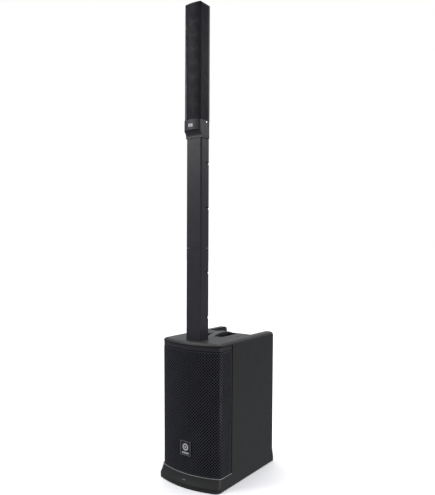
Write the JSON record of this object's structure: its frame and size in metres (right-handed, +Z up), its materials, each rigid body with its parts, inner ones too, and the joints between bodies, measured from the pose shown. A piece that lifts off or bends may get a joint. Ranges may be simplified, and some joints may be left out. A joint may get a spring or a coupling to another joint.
{
  "type": "column pa system",
  "caption": "Portable column loudspeaker: slim mesh-fronted array on plug-in spacers, standing in a powered bass cabinet with a flared base, carrying bar and rear mixer.",
  "frame": {"origin": "on the floor under the middle of the whole object's footprint", "axes": "+Z up along the column, -Y out of the grille front, +X to the right of someone facing the front"},
  "size_m": [0.325, 0.5002, 2.08],
  "materials": {
    "cabinet_plastic": "fine moulded texture, satin",
    "plate_steel": "black powder coat",
    "foot_rubber": "matt",
    "baffle_board": "black painted fibreboard",
    "frame_steel": "black coat",
    "surround_rubber": "matt",
    "cone_pulp": "pressed pulp, matt",
    "motor_ferrite": "ground",
    "screw_steel": "zinc",
    "port_plastic": "matt",
    "grille_steel": "perforated, satin powder coat",
    "foam": "open cell foam",
    "brow_plastic": "satin",
    "badge_plate": "gloss with a pale mark",
    "status_light": "translucent",
    "socket_plastic": "glass-filled, matt",
    "contact_brass": "plated",
    "tub_plastic": "matt",
    "grip_plastic": "satin",
    "sink_aluminium": "black anodised",
    "circuit_board": "solder mask",
    "supply_case": "folded sheet",
    "panel_steel": "fine texture coat",
    "display_glass": "smoked",
    "pot_steel": "stamped",
    "jack_plastic": "moulded",
    "mini_jack_plastic": "moulded",
    "inlet_plastic": "moulded",
    "rocker_plastic": "moulded",
    "knob_plastic": "soft touch",
    "button_rubber": "matt",
    "spacer_plastic": "fine texture, satin",
    "collar_plastic": "fine texture, satin",
    "badge_metal": "brushed",
    "array_mesh_steel": "perforated, satin powder coat",
    "array_plastic": "satin"
  },
  "bodies": {
    "sub": {"amplifier_board": "circuit_board", "bottom_plate": "plate_steel", "cabinet_shell": "cabinet_plastic", "column_socket": "socket_plastic", "combo_jacks": "jack_plastic", "control_pots": "pot_steel", "display_window": "display_glass", "front_baffle": "baffle_board", "front_grille": "grille_steel", "grille_badge": "badge_plate", "grille_brow": "brow_plastic", "grille_foam": "foam", "handle_grip": "grip_plastic", "handle_tub": "tub_plastic", "heat_sink": "sink_aluminium", "mini_jacks": "mini_jack_plastic", "mixer_board": "circuit_board", "output_jack": "jack_plastic", "panel_screws": "screw_steel", "port_tubes": "port_plastic", "power_inlet": "inlet_plastic", "power_supply": "supply_case", "rear_panel": "panel_steel", "rocker_frame": "inlet_plastic", "rubber_feet": "foot_rubber", "socket_contacts": "contact_brass", "status_lens": "status_light", "woofer_cone": "cone_pulp", "woofer_dust_cap": "cone_pulp", "woofer_frame": "frame_steel", "woofer_magnet": "motor_ferrite", "woofer_screws": "screw_steel", "woofer_surround": "surround_rubber"},
    "lower_spacer": {"lower_spacer_tube": "spacer_plastic", "lower_spacer_plug": "socket_plastic", "lower_spacer_socket": "socket_plastic"},
    "upper_spacer": {"upper_spacer_tube": "spacer_plastic", "upper_spacer_plug": "socket_plastic", "upper_spacer_socket": "socket_plastic"},
    "array": {"array_plug": "socket_plastic", "array_collar": "collar_plastic", "collar_screws": "screw_steel", "collar_badge": "badge_metal", "array_grille": "array_mesh_steel", "array_rear_shell": "array_plastic", "array_baffle": "array_plastic", "driver_frames": "frame_steel", "driver_cones": "cone_pulp", "driver_magnets": "motor_ferrite", "array_top_cap": "array_plastic"},
    "encoder": {"main_encoder": "knob_plastic"},
    "rocker": {"power_rocker": "rocker_plastic"},
    "knob_1": {"channel_knob_1": "knob_plastic"},
    "button_1": {"panel_button_1": "button_rubber"},
    "knob_2": {"channel_knob_2": "knob_plastic"},
    "button_2": {"panel_button_2": "button_rubber"},
    "knob_3": {"channel_knob_3": "knob_plastic"},
    "button_3": {"panel_button_3": "button_rubber"},
    "knob_4": {"channel_knob_4": "knob_plastic"},
    "button_4": {"panel_button_4": "button_rubber"}
  },
  "joints": [
    {"name": "lower_spacer_lift", "type": "slide", "parent": "sub", "child": "lower_spacer", "axis": [0, 0, 1], "range_m": [0, 0.15]},
    {"name": "upper_spacer_lift", "type": "slide", "parent": "lower_spacer", "child": "upper_spacer", "axis": [0, 0, 1], "range_m": [0, 0.07]},
    {"name": "array_lift", "type": "slide", "parent": "upper_spacer", "child": "array", "axis": [0, 0, 1], "range_m": [0, 0.07]},
    {"name": "encoder_turn", "type": "hinge", "parent": "sub", "child": "encoder", "pos_m": [-0.08, 0.12988, 0.55447], "axis": [0, 0.8192, 0.5736], "continuous": true},
    {"name": "rocker_rock", "type": "hinge", "parent": "sub", "child": "rocker", "pos_m": [-0.008, 0.186, 0.35545], "axis": [0, 0, 1], "range_deg": [0, 12]},
    {"name": "knob_1_turn", "type": "hinge", "parent": "sub", "child": "knob_1", "pos_m": [0.084, 0.16889, 0.49877], "axis": [0, 0.8192, 0.5736], "range_deg": [-150, 150]},
    {"name": "knob_2_turn", "type": "hinge", "parent": "sub", "child": "knob_2", "pos_m": [0.028, 0.16889, 0.49877], "axis": [0, 0.8192, 0.5736], "range_deg": [-150, 150]},
    {"name": "knob_3_turn", "type": "hinge", "parent": "sub", "child": "knob_3", "pos_m": [-0.028, 0.16889, 0.49877], "axis": [0, 0.8192, 0.5736], "range_deg": [-150, 150]},
    {"name": "knob_4_turn", "type": "hinge", "parent": "sub", "child": "knob_4", "pos_m": [-0.084, 0.16889, 0.49877], "axis": [0, 0.8192, 0.5736], "range_deg": [-150, 150]},
    {"name": "button_1_press", "type": "slide", "parent": "sub", "child": "button_1", "axis": [0, -0.8192, -0.5736], "range_m": [0, 0.0015], "stiffness_N_per_m": 300},
    {"name": "button_2_press", "type": "slide", "parent": "sub", "child": "button_2", "axis": [0, -0.8192, -0.5736], "range_m": [0, 0.0015], "stiffness_N_per_m": 300},
    {"name": "button_3_press", "type": "slide", "parent": "sub", "child": "button_3", "axis": [0, -0.8192, -0.5736], "range_m": [0, 0.0015], "stiffness_N_per_m": 300},
    {"name": "button_4_press", "type": "slide", "parent": "sub", "child": "button_4", "axis": [0, -0.8192, -0.5736], "range_m": [0, 0.0015], "stiffness_N_per_m": 300}
  ]
}
